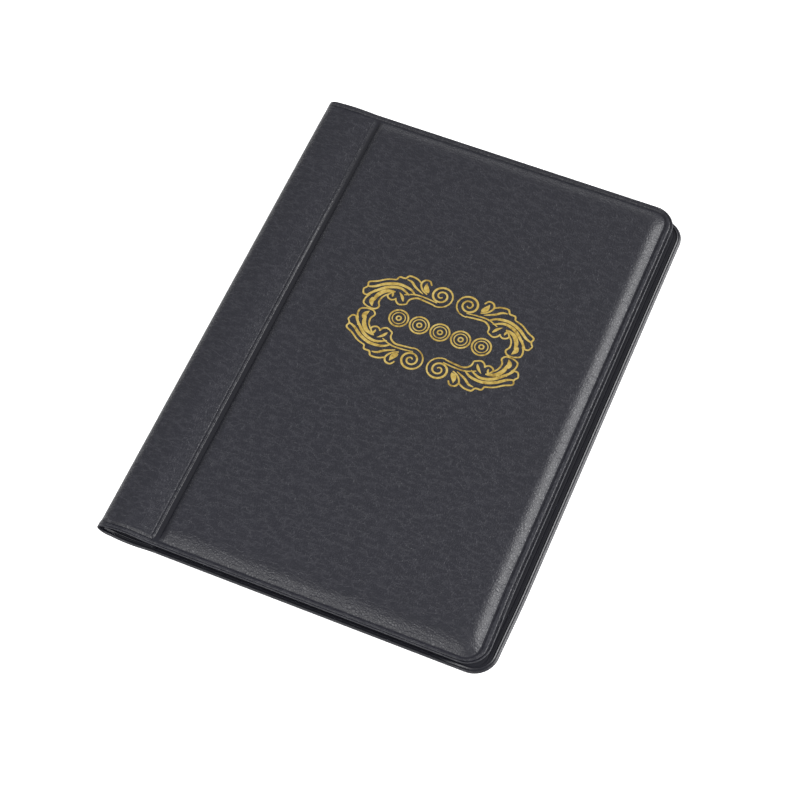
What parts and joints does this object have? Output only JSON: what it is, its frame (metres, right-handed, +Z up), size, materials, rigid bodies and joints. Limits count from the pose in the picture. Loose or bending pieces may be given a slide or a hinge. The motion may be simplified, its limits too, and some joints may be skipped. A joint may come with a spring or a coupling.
{
  "type": "coin album",
  "caption": "Pocket-size album with padded leatherette covers and clear pages of small pockets that hold coins.",
  "frame": {"origin": "centre of the closed album's footprint, on the surface that its back cover lies on", "axes": "+X from the spine to the fore edge, +Y from the foot to the head of the album, +Z up out of the front cover"},
  "size_m": [0.125, 0.17, 0.0095],
  "materials": {
    "leatherette": "fine-grained black leatherette with a soft sheen",
    "lining": "smooth black vinyl",
    "foam": "thin white foam sheet",
    "greyboard": "grey paper board",
    "clear_film": "clear, glossy vinyl film",
    "gold_foil": "gold stamping foil"
  },
  "bodies": {
    "back_cover": {"back_cover_skin": "leatherette", "back_foam_pad": "foam", "back_board": "greyboard", "back_lining": "lining", "back_strip_skin": "leatherette", "back_strip_lining": "lining"},
    "spine": {"spine_skin": "leatherette", "spine_lining": "lining", "page_binding": "clear_film"},
    "front_strip": {"front_strip_skin": "leatherette", "front_strip_lining": "lining"},
    "front_cover": {"front_cover_skin": "leatherette", "front_foam_pad": "foam", "front_board": "greyboard", "front_lining": "lining", "foil_ornament": "gold_foil"},
    "page_01": {"page_01_sheet": "clear_film", "page_01_pockets": "clear_film"},
    "page_02": {"page_02_sheet": "clear_film", "page_02_pockets": "clear_film"},
    "page_03": {"page_03_sheet": "clear_film", "page_03_pockets": "clear_film"},
    "page_04": {"page_04_sheet": "clear_film", "page_04_pockets": "clear_film"},
    "page_05": {"page_05_sheet": "clear_film", "page_05_pockets": "clear_film"},
    "page_06": {"page_06_sheet": "clear_film", "page_06_pockets": "clear_film"},
    "page_07": {"page_07_sheet": "clear_film", "page_07_pockets": "clear_film"},
    "page_08": {"page_08_sheet": "clear_film", "page_08_pockets": "clear_film"},
    "page_09": {"page_09_sheet": "clear_film", "page_09_pockets": "clear_film"},
    "page_10": {"page_10_sheet": "clear_film", "page_10_pockets": "clear_film"}
  },
  "joints": [
    {"name": "album_open", "type": "hinge", "parent": "back_cover", "child": "spine", "pos_m": [-0.05984, 0, 0.00214], "axis": [0, -1, 0], "range_deg": [0, 75]},
    {"name": "front_fold", "type": "hinge", "parent": "spine", "child": "front_strip", "pos_m": [-0.05984, 0, 0.00722], "axis": [0, -1, 0], "range_deg": [0, 75]},
    {"name": "front_crease", "type": "hinge", "parent": "front_strip", "child": "front_cover", "pos_m": [-0.0438, 0, 0.00706], "axis": [0, -1, 0], "range_deg": [0, 35]},
    {"name": "page_01_turn", "type": "hinge", "parent": "spine", "child": "page_01", "pos_m": [-0.05347, 0, 0.00648], "axis": [0, -1, 0], "range_deg": [0, 75]},
    {"name": "page_02_turn", "type": "hinge", "parent": "spine", "child": "page_02", "pos_m": [-0.05347, 0, 0.00608], "axis": [0, -1, 0], "range_deg": [0, 75]},
    {"name": "page_03_turn", "type": "hinge", "parent": "spine", "child": "page_03", "pos_m": [-0.05347, 0, 0.00568], "axis": [0, -1, 0], "range_deg": [0, 75]},
    {"name": "page_04_turn", "type": "hinge", "parent": "spine", "child": "page_04", "pos_m": [-0.05347, 0, 0.00528], "axis": [0, -1, 0], "range_deg": [0, 75]},
    {"name": "page_05_turn", "type": "hinge", "parent": "spine", "child": "page_05", "pos_m": [-0.05347, 0, 0.00488], "axis": [0, -1, 0], "range_deg": [0, 75]},
    {"name": "page_06_turn", "type": "hinge", "parent": "spine", "child": "page_06", "pos_m": [-0.05347, 0, 0.00448], "axis": [0, -1, 0], "range_deg": [-75, 0]},
    {"name": "page_07_turn", "type": "hinge", "parent": "spine", "child": "page_07", "pos_m": [-0.05347, 0, 0.00408], "axis": [0, -1, 0], "range_deg": [-75, 0]},
    {"name": "page_08_turn", "type": "hinge", "parent": "spine", "child": "page_08", "pos_m": [-0.05347, 0, 0.00368], "axis": [0, -1, 0], "range_deg": [-75, 0]},
    {"name": "page_09_turn", "type": "hinge", "parent": "spine", "child": "page_09", "pos_m": [-0.05347, 0, 0.00328], "axis": [0, -1, 0], "range_deg": [-75, 0]},
    {"name": "page_10_turn", "type": "hinge", "parent": "spine", "child": "page_10", "pos_m": [-0.05347, 0, 0.00288], "axis": [0, -1, 0], "range_deg": [-75, 0]}
  ],
  "couplings": [
    {"joint": "front_fold", "follows": "album_open", "ratio": 1},
    {"joint": "page_01_turn", "follows": "album_open", "ratio": 1},
    {"joint": "page_02_turn", "follows": "album_open", "ratio": 0.92},
    {"joint": "page_03_turn", "follows": "album_open", "ratio": 0.84},
    {"joint": "page_04_turn", "follows": "album_open", "ratio": 0.76},
    {"joint": "page_05_turn", "follows": "album_open", "ratio": 0.68},
    {"joint": "page_06_turn", "follows": "album_open", "ratio": -0.68},
    {"joint": "page_07_turn", "follows": "album_open", "ratio": -0.76},
    {"joint": "page_08_turn", "follows": "album_open", "ratio": -0.84},
    {"joint": "page_09_turn", "follows": "album_open", "ratio": -0.92},
    {"joint": "page_10_turn", "follows": "album_open", "ratio": -1}
  ]
}
